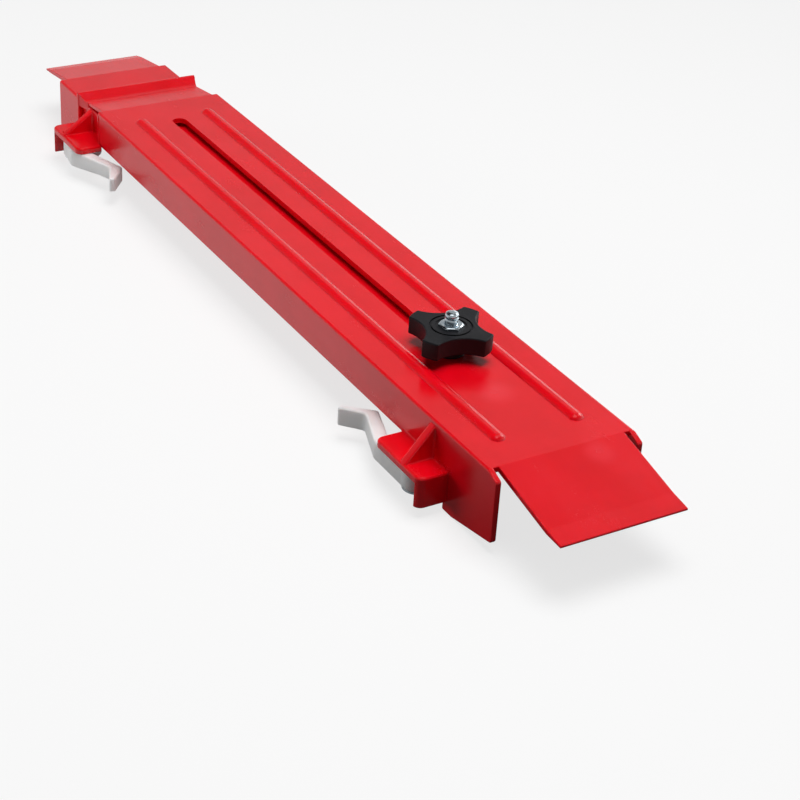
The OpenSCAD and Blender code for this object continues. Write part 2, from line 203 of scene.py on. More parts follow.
def skin(bm, lower, upper):
    """A band of faces between two loops of the same length."""
    for i in range(len(lower)):
        j = (i + 1) % len(lower)
        bm.faces.new((lower[i], lower[j], upper[j], upper[i]))


def prism(outline, axis, low, high, rim=RIM, rim_high=None, steps=3):
    """An outline extruded along an axis, with its rims rounded. Sizes in millimetres."""
    area = sum(p[0] * q[1] - q[0] * p[1] for p, q in zip(outline, outline[1:] + outline[:1]))
    if area < 0:
        outline = outline[::-1]
    rim_high = rim if rim_high is None else rim_high
    place = along(axis)
    rings = []
    for radius, end, way in ((rim, low, 1), (rim_high, high, -1)):
        turns = [math.pi / 2 * k / steps for k in range(steps + 1)] if radius else [math.pi / 2]
        side = [
            (radius * (1 - math.sin(t)), end + way * radius * (1 - math.cos(t))) for t in turns
        ]
        rings += side if way > 0 else side[::-1]
    bm = bmesh.new()
    loops = []
    for inward, height in rings:
        points = inset(outline, inward) if inward else outline
        loops.append([bm.verts.new(place(a, b, height) * MM) for a, b in points])
    for lower, upper in zip(loops, loops[1:]):
        skin(bm, lower, upper)
    bm.faces.new(loops[0][::-1])
    bm.faces.new(loops[-1])
    return new_object("prism", bm)


def extruded(corners, axis, low, high, rim=RIM, rim_high=None, steps=3, corner_steps=5):
    """A prism whose outline has corners given as for soft_outline."""
    return prism(soft_outline(corners, corner_steps), axis, low, high, rim, rim_high, steps)


def box(x, y, z, rim=0.0):
    """A block from pairs of low and high coordinates, in millimetres."""
    return prism([(x[0], y[0]), (x[1], y[0]), (x[1], y[1]), (x[0], y[1])], "z", *z, rim)


def disc(centre, radius, low, high, rim=0.0, steps=48):
    """An upright round block."""
    return prism(circle(centre, radius, steps), "z", low, high, rim)


def fillet(start, end, u, v, radius, steps=5):
    """Fills the inner corner along start-end; u and v run along the two faces."""
    start, end, u, v = (Vector(w) for w in (start, end, u, v))
    points = [-FILLET_SINK * (u + v), u * radius - v * FILLET_SINK]
    for k in range(steps + 1):
        t = math.pi / 2 * k / steps
        points.append((u + v) * radius - (v * math.cos(t) + u * math.sin(t)) * radius)
    points.append(v * radius - u * FILLET_SINK)
    bm = bmesh.new()
    first, last = [[bm.verts.new((base + p) * MM) for p in points] for base in (start, end)]
    skin(bm, first, last)
    bm.faces.new(first[::-1])
    bm.faces.new(last)
    return new_object("fillet", bm)


def lathe(profile, steps=48):
    """Turns (radius, height) points about the clamp's axis; both ends lie on it."""
    bm = bmesh.new()
    rows = []
    for radius, height in profile:
        points = circle(CLAMP_CENTRE, radius, steps) if radius else [CLAMP_CENTRE]
        rows.append([bm.verts.new(Vector((x, y, height)) * MM) for x, y in points])
    for lower, upper in zip(rows, rows[1:]):
        for i in range(steps):
            j = (i + 1) % steps
            corners = [
                lower[i % len(lower)],
                lower[j % len(lower)],
                upper[j % len(upper)],
                upper[i % len(upper)],
            ]
            # At a pole two corners are one point, which is used once.
            bm.faces.new(list(dict.fromkeys(corners)))
    return new_object("lathe", bm)


# ---------- sizes, in millimetres ----------

cover_box = [[v / MM for v in corner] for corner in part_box("front_cover")]
slider_box = [[v / MM for v in corner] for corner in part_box("rear_slider")]

# Walls and their edges. PAST and FAR_PAST are how far a block goes past what it cuts.
# ROOT and OVERLAP are how far a part reaches into the one it grows from, and SKIN
# keeps it just inside that one's faces there.
WALL = 2.1
EDGE = 1.0
SOFT_RIM = 0.3
INNER_CORNER = 0.6
PAST = 1
FAR_PAST = 5
ROOT = 0.5
OVERLAP = 0.6
SKIN = 0.02

# The front cover's channel, its deep walls and the strip at its rear end.
COVER_HALF = cover_box[1][1]
COVER_INNER = COVER_HALF - WALL
COVER_TOP = 9.3
COVER_UNDER = 7.0
COVER_SKIRT = -5.9
REAR_BEND = -317.0
WALL_FRONT = 5.4
WALL_FRONT_TOP = 7.1
WALL_ROOT = -4
DECK_ROUND = 2
NOSE_ROUND = 1.2
RISE_ROUND = 4
GRIP_ROUND = 0.6
GRIP = cover_box[0][2]
GRIP_FRONT = -16.2
GRIP_RISE = -18.6
FAR_GRIP_REAR = -62.0
STRIP_X = (REAR_BEND + 0.1, REAR_BEND + 1.2)
STRIP_Z = (COVER_SKIRT + 0.3, COVER_TOP - 1.3)
STRIP_PROUD = 0.25
STRIP_RIM = 0.2

# The thin strips that slope down to the ski, and the tongue over the ramp.
FLAP_HALF = 24.8
FLAP_TIP = cover_box[1][0]
BEND_ROUND = 3
KNEE_SHARE = 0.78
KNEE_Z = (0.4, 2.1)
KNEE_ROUND = 6
TIP_FOOT = 0.3
TIP_THICK = 0.85
TIP_ROUND = 0.25
TONGUE_HALF = 26.1
TONGUE_END = -333.6
TONGUE_TIP = (5.5, 7.1)
TONGUE_ROUND = (0.3, 0.6)

# The rear slider's channel, stop collar, ramp, running rails and pad.
SLIDER_HALF = 26.4
SLIDER_INNER = SLIDER_HALF - WALL
SLIDER_TOP = 5.2
SLIDER_UNDER = 2.9
SLIDER_SKIRT = -5.5
SLIDER_BEND = -367.3
SLIDER_FRONT = -58.0
SLIDER_FLAP_HALF = 22.9
SLIDER_FAR_GRIP = -305.0
SLIDER_GRIP_ROUND = 0.8
COLLAR_X = (-342.0, -339.8)
COLLAR_HALF = 28.6
COLLAR_RIM = 0.8
RAMP_END = -333.9
RAMP_FRONT = RAMP_END + 0.15
RAMP_FOOT = SLIDER_UNDER + 0.3
RAMP_INSET = 0.1
RAIL_X = (-83.7, SLIDER_FRONT - 0.2)
RAIL_Y = 20
RAIL_HALF = 1
RAIL_ROOT = 1
RAIL_RIM = 0.25
PAD = 7.2
PAD_TOP = 6.7

# Beads and slot.
BEAD_OFFSET = 15.6
BEAD_HALF = 2.9
BEAD_HEIGHT = 1.5
BEAD_X = (-302.0, -12.4)
BEAD_STEPS = 12
BEAD_SINK = 0.03
BEAD_FOOT = 0.6
BEAD_CROWN = 0.8
SLOT_HALF = 3.15
SLOT_X = (-297.8, -66.05)
SLOT_STEPS = 16

# The levers' brackets, and the box that keeps the rear one clear of the front cover.
SHELF_OUT = 6.9
SHELF_ARM = 18.0
SHELF_HOOD = 11.5
SHELF_Z = (-7.4, -4.7)
HOOD_WALL = 2.4
HOOD_FOOT = -16.6
HOOD_CORNER = 3.0
HOOD_RIM = 0.5
SHELF_EDGE = 1.0
GUSSET = 3.4
GUSSET_RIM = 0.8
GUSSET_TIP = 0.45
GUSSET_SINK = 0.1
COVER_GUSSET_TOP = COVER_TOP - 1.4
SLIDER_GUSSET_TOP = SLIDER_TOP - 0.4
BOSS = 3.4
BOSS_FOOT = -15.1
GUSSET_ROUND = 0.6
WALL_FILLET = 0.9
UPRIGHT_FILLET = 0.8
UPRIGHT_FILLET_END = 1
SHELF_FILLET = 0.7
SHELF_FILLET_END = 1.2
CLEAR_OF_COVER = ((REAR_BEND - 0.3, -300), (-29.2, 0), (-20, 20))

# Upright ribs inside the far wall, which locate the ski.
FENCE_Y = 22.3
FENCE = 2.0
FENCE_FOOT = GRIP + 0.3
COVER_FENCES = (-55.0, -38.05, -21.1)
SLIDER_FENCES = (SLIDER_BEND + FENCE, -331.5, -309.0)


def channel(half, bottom, top, under, x0, x1):
    """The U-shaped bar of a cover, open downwards."""
    corners = [
        (-half, bottom, RIM),
        (-half + WALL, bottom, RIM),
        (-half + WALL, under, INNER_CORNER),
        (half - WALL, under, INNER_CORNER),
        (half - WALL, bottom, RIM),
        (half, bottom, RIM),
        (half, top, EDGE),
        (-half, top, EDGE),
    ]
    return extruded(corners, "x", x0, x1)


def flap(bend, length, top, under, half):
    """A thin strip sloping from a bend to its tip on the ski."""
    start = bend - math.copysign(OVERLAP, length)
    knee = bend + KNEE_SHARE * length
    tip = bend + length
    corners = [
        (start, top - SKIN),
        (bend, top - SKIN, BEND_ROUND),
        (knee, TIP_FOOT + KNEE_Z[1], KNEE_ROUND),
        (tip, TIP_FOOT + TIP_THICK, RIM),
        (tip, TIP_FOOT, TIP_ROUND),
        (knee, TIP_FOOT + KNEE_Z[0], KNEE_ROUND),
        (bend, under + SKIN, BEND_ROUND),
        (start, under + SKIN),
    ]
    return extruded(corners, "y", -half, half, SOFT_RIM)


def fences(places, inner, under):
    """The ribs inside one far wall, rooted in the wall and the deck."""
    y, z = (FENCE_Y, inner + ROOT), (FENCE_FOOT, under + ROOT)
    return [box((x, x + FENCE), y, z, SOFT_RIM) for x in places]


def bracket(pivot, way, root, gusset_top, wall_face):
    """Shelf, hood, gusset, boss, wall fillet and the gusset's fillets, in this order.

    way is +1 where the lever points to +X. The shelf, hood and gusset reach through
    the wall's outer face, wall_face, to its inner one, root.
    """
    px, py = pivot.x / MM, pivot.y / MM
    outer = py - SHELF_OUT
    hood = px - way * SHELF_HOOD
    hood_in = hood + way * HOOD_WALL
    arm_end = px + way * SHELF_ARM
    foot, top = SHELF_Z
    hood_corner = (hood, outer, HOOD_CORNER)
    shelf = extruded(
        [(hood, root), hood_corner, (arm_end, outer, HOOD_CORNER), (arm_end, root)],
        "z", foot, top, SOFT_RIM, SHELF_EDGE, steps=5, corner_steps=8,
    )
    cap = extruded(
        [(hood, root), hood_corner, (arm_end, outer), (arm_end, root)],
        "z", HOOD_FOOT, top, HOOD_RIM, SHELF_EDGE, steps=5, corner_steps=8,
    )
    ends = sorted((hood - 2 * PAST * way, hood_in))
    kept = box(ends, (outer - PAST, root + PAST), (HOOD_FOOT - PAST, top + PAST))
    boolean(cap, "INTERSECT", kept)
    gusset = extruded(
        [
            (root, foot + PAST),
            (root, gusset_top),
            (wall_face, gusset_top, GUSSET_ROUND),
            (outer + GUSSET_TIP, top - GUSSET_SINK),
            (outer + GUSSET_TIP, foot + PAST),
        ],
        "x", px - GUSSET / 2, px + GUSSET / 2, GUSSET_RIM, steps=4,
    )
    boss = disc((px, py), BOSS, BOSS_FOOT, foot + PAST)
    out, up = (0, -1, 0), (0, 0, 1)
    foot_line = (hood_in, wall_face, top), (arm_end, wall_face, top)
    parts = [shelf, cap, gusset, boss, fillet(*foot_line, out, up, WALL_FILLET)]
    for side in (-1, 1):
        x = px + side * GUSSET / 2
        away = (side, 0, 0)
        corner = (x, wall_face, top)
        head = (x, wall_face, gusset_top - UPRIGHT_FILLET_END)
        tip = (x, outer + SHELF_FILLET_END, top)
        parts.append(fillet(corner, head, away, out, UPRIGHT_FILLET))
        parts.append(fillet(corner, tip, away, up, SHELF_FILLET))
    return parts


def bead(y):
    """A raised bead that runs out softly into the cover's top."""
    x0, x1 = BEAD_X[0] + BEAD_HALF, BEAD_X[1] - BEAD_HALF
    bm = bmesh.new()

    def loop(radius, height):
        points = arc((x1, y), radius, -90, 90, BEAD_STEPS)
        points += arc((x0, y), radius, 90, 270, BEAD_STEPS)
        return [bm.verts.new(Vector((a, b, height)) * MM) for a, b in points]

    loops = []
    for i in range(1, BEAD_STEPS + 1):
        share = math.sin(math.pi / 2 * i / BEAD_STEPS)
        rise = (BEAD_HEIGHT + BEAD_SINK) * (1 - share**2) ** BEAD_CROWN
        loops.append(loop(BEAD_HALF * share, COVER_TOP - BEAD_SINK + rise))
    loops.append(loop(BEAD_HALF, COVER_TOP - BEAD_FOOT))
    for inner, outer in zip(loops, loops[1:]):
        skin(bm, inner, outer)
    bm.faces.new(loops[0])
    bm.faces.new(loops[-1][::-1])
    return new_object("bead", bm)


# ---------- front cover ----------


def make_front_cover():
    """The long cover: channel, deep walls, flap, tongue, bracket, slot and beads."""
    shell = channel(COVER_HALF, COVER_SKIRT, COVER_TOP, COVER_UNDER, REAR_BEND, 0)
    near_grip_rear = PIVOTS["front_lever_pivot"].x / MM + SHELF_HOOD - HOOD_WALL
    walls = []
    for y0, y1, rear in (
        (-COVER_HALF, -COVER_INNER, near_grip_rear),
        (COVER_INNER, COVER_HALF, FAR_GRIP_REAR),
    ):
        side = [
            (rear, 0),
            (rear, GRIP, GRIP_ROUND),
            (GRIP_RISE, GRIP, RISE_ROUND),
            (WALL_FRONT, GRIP_FRONT, NOSE_ROUND),
            (WALL_FRONT, WALL_FRONT_TOP, NOSE_ROUND),
            (0, COVER_TOP, DECK_ROUND),
            (WALL_ROOT, COVER_TOP),
            (WALL_ROOT, 0),
        ]
        walls.append(extruded(side, "y", y0, y1))
    end_view = [
        (-COVER_HALF, GRIP - PAST),
        (COVER_HALF, GRIP - PAST),
        (COVER_HALF, COVER_TOP, EDGE),
        (-COVER_HALF, COVER_TOP, EDGE),
    ]
    end_view_x = (FAR_GRIP_REAR - FAR_PAST, WALL_FRONT + FAR_PAST)
    for wall in walls:
        boolean(wall, "INTERSECT", extruded(end_view, "x", *end_view_x, 0))
    tongue = extruded(
        [
            (REAR_BEND + OVERLAP, COVER_TOP - SKIN),
            (REAR_BEND, COVER_TOP - SKIN, BEND_ROUND),
            (TONGUE_END, TONGUE_TIP[1], TONGUE_ROUND[1]),
            (TONGUE_END, TONGUE_TIP[0], TONGUE_ROUND[0]),
            (REAR_BEND, COVER_UNDER + SKIN, BEND_ROUND),
            (REAR_BEND + OVERLAP, COVER_UNDER + SKIN),
        ],
        "y", -TONGUE_HALF, TONGUE_HALF, SOFT_RIM,
    )
    strip = box(STRIP_X, (-COVER_HALF - STRIP_PROUD, -COVER_HALF + ROOT), STRIP_Z, STRIP_RIM)
    boolean(
        shell,
        "UNION",
        *walls,
        *fences(COVER_FENCES, COVER_INNER, COVER_UNDER),
        tongue,
        flap(0, FLAP_TIP, COVER_TOP, COVER_UNDER, FLAP_HALF),
        strip,
        *bracket(PIVOTS["front_lever_pivot"], -1, -COVER_INNER, COVER_GUSSET_TOP, -COVER_HALF),
    )
    slot = arc((SLOT_X[1] - SLOT_HALF, 0), SLOT_HALF, -90, 90, SLOT_STEPS)
    slot += arc((SLOT_X[0] + SLOT_HALF, 0), SLOT_HALF, 90, 270, SLOT_STEPS)
    boolean(shell, "DIFFERENCE", prism(slot, "z", COVER_UNDER - PAST, COVER_TOP + PAST, 0))
    return joined(shell, bead(-BEAD_OFFSET), bead(BEAD_OFFSET))


# ---------- rear slider ----------


def make_ramp():
    """The slope from the stop collar to the deck, at each end as wide as what it meets."""
    rear = COLLAR_X[0] + COLLAR_RIM
    ramp = prism(
        [
            (rear, -COLLAR_HALF + RAMP_INSET),
            (RAMP_FRONT, -SLIDER_HALF + RAMP_INSET),
            (RAMP_FRONT, SLIDER_HALF - RAMP_INSET),
            (rear, COLLAR_HALF - RAMP_INSET),
        ],
        "z", RAMP_FOOT, COVER_TOP + PAST, SOFT_RIM,
    )
    slope = extruded(
        [
            (COLLAR_X[0], SLIDER_UNDER),
            (RAMP_END + PAST, SLIDER_UNDER),
            (RAMP_END + PAST, TONGUE_TIP[1] - 0.35),
            (RAMP_END - 1.8, TONGUE_TIP[1] - 0.2, 5),
            (COLLAR_X[1] - 0.2, COVER_TOP - 0.2, 1.5),
            (COLLAR_X[0] + 1.2, COVER_TOP - SKIN, 1),
            (COLLAR_X[0], COVER_TOP - SKIN),
        ],
        "y", -COLLAR_HALF - PAST, COLLAR_HALF + PAST, 0,
    )
    return boolean(ramp, "INTERSECT", slope)


def make_rear_slider():
    """The inner cover: channel, grip walls, flap, collar, ramp, rails, pad, bracket."""
    shell = channel(
        SLIDER_HALF, SLIDER_SKIRT, SLIDER_TOP, SLIDER_UNDER, SLIDER_BEND, SLIDER_FRONT
    )
    walls = []
    for y0, y1, front in (
        (-SLIDER_HALF, -SLIDER_INNER, COLLAR_X[1]),
        (SLIDER_INNER, SLIDER_HALF, SLIDER_FAR_GRIP),
    ):
        side = [
            (SLIDER_BEND, 0),
            (SLIDER_BEND, GRIP, SLIDER_GRIP_ROUND),
            (front, GRIP, SLIDER_GRIP_ROUND),
            (front, 0),
        ]
        walls.append(extruded(side, "y", y0, y1))
    flap_length = slider_box[0][0] - SLIDER_BEND
    collar = extruded(
        [
            (-COLLAR_HALF, COVER_SKIRT, RIM),
            (-SLIDER_INNER, COVER_SKIRT, RIM),
            (-SLIDER_INNER, SLIDER_UNDER),
            (SLIDER_INNER, SLIDER_UNDER),
            (SLIDER_INNER, COVER_SKIRT, RIM),
            (COLLAR_HALF, COVER_SKIRT, RIM),
            (COLLAR_HALF, COVER_TOP, EDGE),
            (-COLLAR_HALF, COVER_TOP, EDGE),
        ],
        "x", *COLLAR_X, COLLAR_RIM,
    )
    rails = [
        box(RAIL_X, (y - RAIL_HALF, y + RAIL_HALF), (SLIDER_TOP - RAIL_ROOT, PAD_TOP), RAIL_RIM)
        for y in (-RAIL_Y, RAIL_Y)
    ]
    pad = disc(CLAMP_CENTRE, PAD, SLIDER_UNDER + 0.1, PAD_TOP, SOFT_RIM)
    pivot = PIVOTS["rear_lever_pivot"]
    parts = bracket(pivot, 1, -SLIDER_INNER, SLIDER_GUSSET_TOP, -SLIDER_HALF)
    shelf, wall_fillet = parts[0], parts[4]
    for part in (shelf, wall_fillet):
        boolean(part, "DIFFERENCE", box(*CLEAR_OF_COVER))
    return boolean(
        shell,
        "UNION",
        *walls,
        *fences(SLIDER_FENCES, SLIDER_INNER, SLIDER_UNDER),
        flap(SLIDER_BEND, flap_length, SLIDER_TOP, SLIDER_UNDER, SLIDER_FLAP_HALF),
        collar,
        make_ramp(),
        *rails,
        pad,
        *parts,
    )


# ---------- levers ----------

HUB = 5.8
CAM = 8.0
THROW = 3.0
ARM = 5.4
TAB = 2.4
TAB_ROUND = 0.9
HEEL_ROUND = 2.5
ELBOW_ROUND = 2
CRANK_ROUND = 4
LEVER_Z = (-15.0, -7.5)
LEVER_RIM = 0.8
PIVOT_PLAY = 0.05
ELBOW_SHIFT = 0.6
TAB_SLOPE = 0.25
RISE_END = 6
# Places well outside a lever, from its pivot.
BEYOND_TAB = 80
BEYOND_SIDE = 20
FRONT_LEVER = {
    "way": -1,
    "corner": (20, 5.5),
    "bend": (37, -0.6),
    "heel": (0.6, -4.4),
    "tab": (45, 6.6),
    "rise": 0,
}
REAR_LEVER = {
    "way": 1,
    "corner": (11, 7.4),
    "bend": (34, -1),
    "heel": (3, -4.8),
    "tab": (45.5, 3.9),
    "rise": 1.6,
}


def make_lever(pivot, way, corner, bend, heel, tab, rise):
    """A cam, a hub and a cranked arm with its finger tab; way as for the bracket.

    corner, bend and tab are places from the pivot, heel one from the bend; rise
    lifts the underside of the arm's far part. The outline's first and last corners
    lie hidden in the hub and the cam.
    """
    px, py = pivot.x / MM, pivot.y / MM

    def put(points):
        return [(px + way * p[0], py - p[1], *p[2:]) for p in points]

    slant = math.atan2(corner[1] - bend[1], bend[0] - corner[0])
    inner = (-math.sin(slant) * ARM, -math.cos(slant) * ARM)
    arm = put(
        [
            (-1, HUB - 0.3),
            (*corner, CRANK_ROUND),
            (*bend, HEEL_ROUND),
            (*tab, TAB_ROUND),
            (tab[0] + TAB_SLOPE * TAB, tab[1] - TAB, TAB_ROUND),
            (bend[0] + heel[0], bend[1] + heel[1], HEEL_ROUND),
            (bend[0] + inner[0] + heel[0] + ELBOW_SHIFT, bend[1] + inner[1], ELBOW_ROUND),
            (corner[0] + inner[0], corner[1] + inner[1], CRANK_ROUND),
            (CAM, corner[1] - ARM),
            (0, -THROW),
        ]
    )
    low, high = LEVER_Z
    lever = prism(soft_outline(arm, 6), "z", low, high, LEVER_RIM, steps=4)
    for centre, radius, steps in (((0, 0), HUB, 48), ((0, -THROW), CAM, 64)):
        round_part = put(circle(centre, radius, steps))
        boolean(lever, "UNION", prism(round_part, "z", low, high, LEVER_RIM, steps=4))
    if rise:
        under = [
            (CAM + 2, low - PAST),
            (CAM + 2, low),
            (bend[0] - RISE_END, low + rise),
            (BEYOND_TAB, low + rise),
            (BEYOND_TAB, low - PAST),
        ]
        under = [(px + way * x, z) for x, z in under]
        boolean(lever, "DIFFERENCE", prism(under, "y", py - BEYOND_SIDE, py + BEYOND_SIDE, 0))
    bore = disc((px, py), BOSS + PIVOT_PLAY, low - PAST, high + PAST)
    return boolean(lever, "DIFFERENCE", bore)


# ---------- knob, nut and bolt ----------

KNOB_TURN = 30
KNOB_R = 15.5
KNOB_Z = (13.2, 19.8)
KNOB_RIM = 0.45
VALLEY = 9.7
KNOB_ARM = 3.2
ARM_HALF = math.degrees(math.asin(KNOB_ARM / KNOB_R))
ARM_CORNER = 0.6
KNOB_HUB = 5.8
KNOB_GAP = 0.1
GROOVE = (7.0, 7.8)
GROOVE_DEPTH = 0.6
DISH = 5.7
DISH_DEPTH = 0.3
NUT_TURN = 60
NUT_Z = (16.6, 20.6)
NUT_FLATS = 8.0
NUT_PLAY = 0.05
CHAMFER = (0.25, 0.55)
BOLT_R = 2.5
BOLT_PLAY = 0.2
BOLT_TOP = 25.2
# The head sits in the slider's deck, this far below its top, and the shank's foot
# lies hidden in it.
HEAD_SEAT = 0.5
HEAD_HIGH = 2.4
HEAD_RIM = 0.2
FOOT_SINK = 0.1
# The shank narrows to the thread's core below the nut. The ridge runs from just above
# that neck to just below the tip.
NECK_DROP = 4
NECK_HIGH = 0.4
RIDGE_START = 0.6
RIDGE_END = 0.4
CORE_END = 0.45
# The tip's rounding: how far in from the bolt's radius, and how far up, at each ring.
TIP_HIGH = 1.35
TIP_RINGS = ((0.02, -0.1), (0, 0), (0.05, 0.35), (0.3, 0.8), (0.9, 1.15), (1.7, 1.32))
THREAD_DEPTH = 0.4
RIDGE = 0.38
PITCH = 0.9


def across_corners(flats):
    """A hexagon's radius to its corners, from its width across flats."""
    return flats / 2 / math.cos(math.pi / 6)


def hexagon(flats, turn=0):
    """Six corners about the clamp's axis."""
    corners = arc((0, 0), across_corners(flats), turn, turn + 360, 6)[:-1]
    return [(CLAMP_X + x, y) for x, y in corners]


def knob_outline():
    """Four arms between four round valleys, with crisp corners."""
    outward = KNOB_R * math.cos(math.radians(45 - ARM_HALF))
    aside = KNOB_R * math.sin(math.radians(45 - ARM_HALF))
    dip = outward - VALLEY
    scoop = (dip**2 + aside**2) / (2 * dip)
    spread = math.degrees(math.asin(aside / scoop))
    centre = Vector(CLAMP_CENTRE)
    corners = []
    for turn in range(KNOB_TURN, KNOB_TURN + 360, 90):
        end = arc(centre, KNOB_R, turn - ARM_HALF, turn + ARM_HALF, 6)
        middle = math.radians(turn + 45)
        hollow = centre + (VALLEY + scoop) * Vector((math.cos(middle), math.sin(middle)))
        valley = arc(hollow, scoop, turn + 225 + spread, turn + 225 - spread, 16)
        corners += [(*end[0], ARM_CORNER), *end[1:-1], (*end[-1], ARM_CORNER), *valley[1:-1]]
    return soft_outline(corners, 4)


def make_knob():
    """The knob with its hub below, and a groove, a dish and the nut's pocket on top."""
    low, top = KNOB_Z
    knob = prism(knob_outline(), "z", low, top, KNOB_RIM, KNOB_RIM, 4)
    hub = disc(CLAMP_CENTRE, KNOB_HUB, COVER_TOP + KNOB_GAP, low + PAST, SOFT_RIM)
    groove = disc(CLAMP_CENTRE, GROOVE[1], top - GROOVE_DEPTH, top + PAST, steps=64)
    island = disc(CLAMP_CENTRE, GROOVE[0], top - GROOVE_DEPTH - PAST, top + 2 * PAST, steps=64)
    boolean(groove, "DIFFERENCE", island)
    dish = disc(CLAMP_CENTRE, DISH, top - DISH_DEPTH, top + PAST)
    pocket = hexagon(NUT_FLATS + 2 * NUT_PLAY, NUT_TURN)
    pocket = prism(pocket, "z", NUT_Z[0] - NUT_PLAY, top + PAST, 0)
    bore = disc(CLAMP_CENTRE, BOLT_R + BOLT_PLAY, COVER_TOP - PAST, top)
    boolean(knob, "UNION", hub)
    return boolean(knob, "DIFFERENCE", groove, dish, pocket, bore)


def make_nut():
    """A hexagon nut with its corners chamfered above and below."""
    low, high = NUT_Z
    nut = prism(hexagon(NUT_FLATS, NUT_TURN), "z", low, high, 0)
    rounding = [(across_corners(NUT_FLATS), CHAMFER[1]), (NUT_FLATS / 2 - CHAMFER[0], 0.0)]
    profile = [(0, low)] + [(r, low + d) for r, d in rounding[::-1]]
    profile += [(r, high - d) for r, d in rounding] + [(0, high)]
    boolean(nut, "INTERSECT", lathe(profile, 72))
    boolean(nut, "DIFFERENCE", disc(CLAMP_CENTRE, BOLT_R + NUT_PLAY, low - PAST, high + PAST))
    return shaded(nut, 25)


def thread_nodes():
    """Geometry nodes: one helical ridge, from its radius, height, turns and size."""
    tree = bpy.data.node_groups.new("helical_thread", "GeometryNodeTree")
    for name, kind in (
        ("Radius", "Float"),
        ("Height", "Float"),
        ("Turns", "Float"),
        ("Ridge", "Float"),
        ("Place", "Vector"),
        ("Material", "Material"),
    ):
        tree.interface.new_socket(name=name, in_out="INPUT", socket_type=f"NodeSocket{kind}")
    tree.interface.new_socket(name="Geometry", in_out="OUTPUT", socket_type="NodeSocketGeometry")
    given = tree.nodes.new("NodeGroupInput").outputs
    spiral = add(
        tree,
        "GeometryNodeCurveSpiral",
        {
            "Resolution": 32,
            "Rotations": given["Turns"],
            "Start Radius": given["Radius"],
            "End Radius": given["Radius"],
            "Height": given["Height"],
        },
    )
    ridge = add(
        tree,
        "GeometryNodeCurvePrimitiveCircle",
        {"Resolution": 4, "Radius": given["Ridge"]},
    )
    sweep = add(
        tree,
        "GeometryNodeCurveToMesh",
        {
            "Curve": spiral.outputs["Curve"],
            "Profile Curve": ridge.outputs["Curve"],
            "Fill Caps": True,
        },
    )
    moved = add(
        tree,
        "GeometryNodeTransform",
        {"Geometry": sweep.outputs["Mesh"], "Translation": given["Place"]},
    )
    real = add(tree, "GeometryNodeRealizeInstances", {"Geometry": moved.outputs["Geometry"]})
    paint = add(
        tree,
        "GeometryNodeSetMaterial",
        {"Geometry": real.outputs["Geometry"], "Material": given["Material"]},
    )
    output = tree.nodes.new("NodeGroupOutput")
    tree.links.new(paint.outputs["Geometry"], output.inputs["Geometry"])
    return tree


def make_bolt(material):
    """The bolt: hexagon head below, threaded end above, ending in a domed tip."""
    head_top = SLIDER_TOP - HEAD_SEAT
    foot = head_top - FOOT_SINK
    core = BOLT_R - THREAD_DEPTH
    neck = NUT_Z[0] - NECK_DROP
    tip = BOLT_TOP - TIP_HIGH
    profile = [(0, foot), (BOLT_R, foot), (BOLT_R, neck)]
    profile += [(core, neck + NECK_HIGH), (core, tip - CORE_END)]
    profile += [(BOLT_R - inward, tip + rise) for inward, rise in TIP_RINGS]
    body = lathe([*profile, (0, BOLT_TOP)])
    head = prism(hexagon(NUT_FLATS), "z", head_top - HEAD_HIGH, head_top, HEAD_RIM)
    boolean(body, "UNION", head)
    low, high = neck + RIDGE_START, tip - RIDGE_END
    thread = new_object("thread", bmesh.new())
    modifier = thread.modifiers.new("thread", "NODES")
    tree = thread_nodes()
    modifier.node_group = tree
    values = {
        "Radius": (core + SKIN) * MM,
        "Height": (high - low) * MM,
        "Turns": (high - low) / PITCH,
        "Ridge": RIDGE * MM,
        "Place": (CLAMP.x, 0, low * MM),
        "Material": material,
    }
    for item in tree.interface.items_tree:
        if item.in_out == "INPUT":
            modifier[item.identifier] = values[item.name]
    applied(thread)
    return shaded(joined(body, thread), 30)


# ---------- nodes ----------

FLOAT, VECTOR = "NodeSocketFloat", "NodeSocketVector"
EVEN = (1, 1, 1)


def add(tree, kind, inputs=None, **settings):
    """A new node with its settings, and its inputs set or linked."""
    node = tree.nodes.new(kind)
    for key, value in settings.items():
        setattr(node, key, value)
    for key, value in (inputs or {}).items():
        if isinstance(value, bpy.types.NodeSocket):
            tree.links.new(value, node.inputs[key])
        else:
            node.inputs[key].default_value = value
    return node


def folded(tree, operation, values, clamp=False):
    """One Math operation over two or more values, from the first to the last."""
    result = values[0]
    for value in values[1:]:
        node = add(tree, "ShaderNodeMath", {0: result, 1: value}, operation=operation)
        node.use_clamp = clamp
        result = node.outputs[0]
    return result


def plus(tree, *values, clamp=False):
    return folded(tree, "ADD", values, clamp)


def minus(tree, *values, clamp=False):
    return folded(tree, "SUBTRACT", values, clamp)


def times(tree, *values):
    return folded(tree, "MULTIPLY", values)


def most(tree, *values):
    return folded(tree, "MAXIMUM", values)


def span(tree, value, low, high, to_low=0.0, to_high=1.0):
    """Value mapped smoothly from low..high to to_low..to_high."""
    return add(
        tree,
        "ShaderNodeMapRange",
        {"Value": value, "From Min": low, "From Max": high, "To Min": to_low, "To Max": to_high},
        interpolation_type="SMOOTHSTEP",
    ).outputs["Result"]


def noise(tree, coordinates, stretch, scale, detail, roughness=0.55):
    """Noise over coordinates that are first multiplied by stretch."""
    place = add(tree, "ShaderNodeVectorMath", {0: coordinates, 1: stretch}, operation="MULTIPLY")
    return add(
        tree,
        "ShaderNodeTexNoise",
        {"Vector": place.outputs[0], "Scale": scale, "Detail": detail, "Roughness": roughness},
    ).outputs[0]


